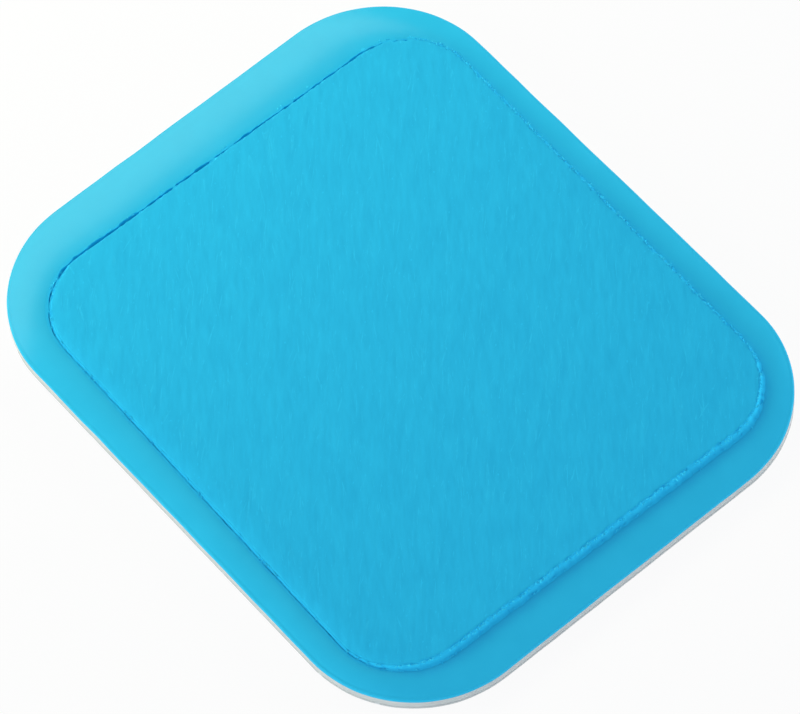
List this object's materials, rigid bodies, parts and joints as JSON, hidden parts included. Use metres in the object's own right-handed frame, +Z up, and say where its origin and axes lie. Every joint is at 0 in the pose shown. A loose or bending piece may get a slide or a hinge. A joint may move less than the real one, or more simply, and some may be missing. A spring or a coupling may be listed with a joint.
{
  "type": "tens electrode pad",
  "caption": "Self-adhesive stimulation electrode pad with rounded corners: raised nonwoven panel in a soft border, gel underside on a release liner.",
  "frame": {"origin": "middle of the underside of the release liner, on the surface that the pad lies on", "axes": "+X along the pad's long side, +Y along its short side, +Z up out of the nonwoven panel"},
  "size_m": [0.06, 0.05, 0.0028],
  "materials": {
    "liner_film": "smooth pale release film",
    "pale_gel": "soft pale adhesive gel, cut edge",
    "carbon_film": "black carbon-loaded film",
    "smooth_blue": "smooth soft sky-blue sheet with a low sheen",
    "nonwoven_blue": "sky-blue nonwoven with fine fibres running one way"
  },
  "bodies": {
    "root": {"release_liner": "liner_film", "hydrogel": "pale_gel", "conductive_film": "carbon_film", "border": "smooth_blue", "centre_panel": "nonwoven_blue"}
  },
  "joints": []
}
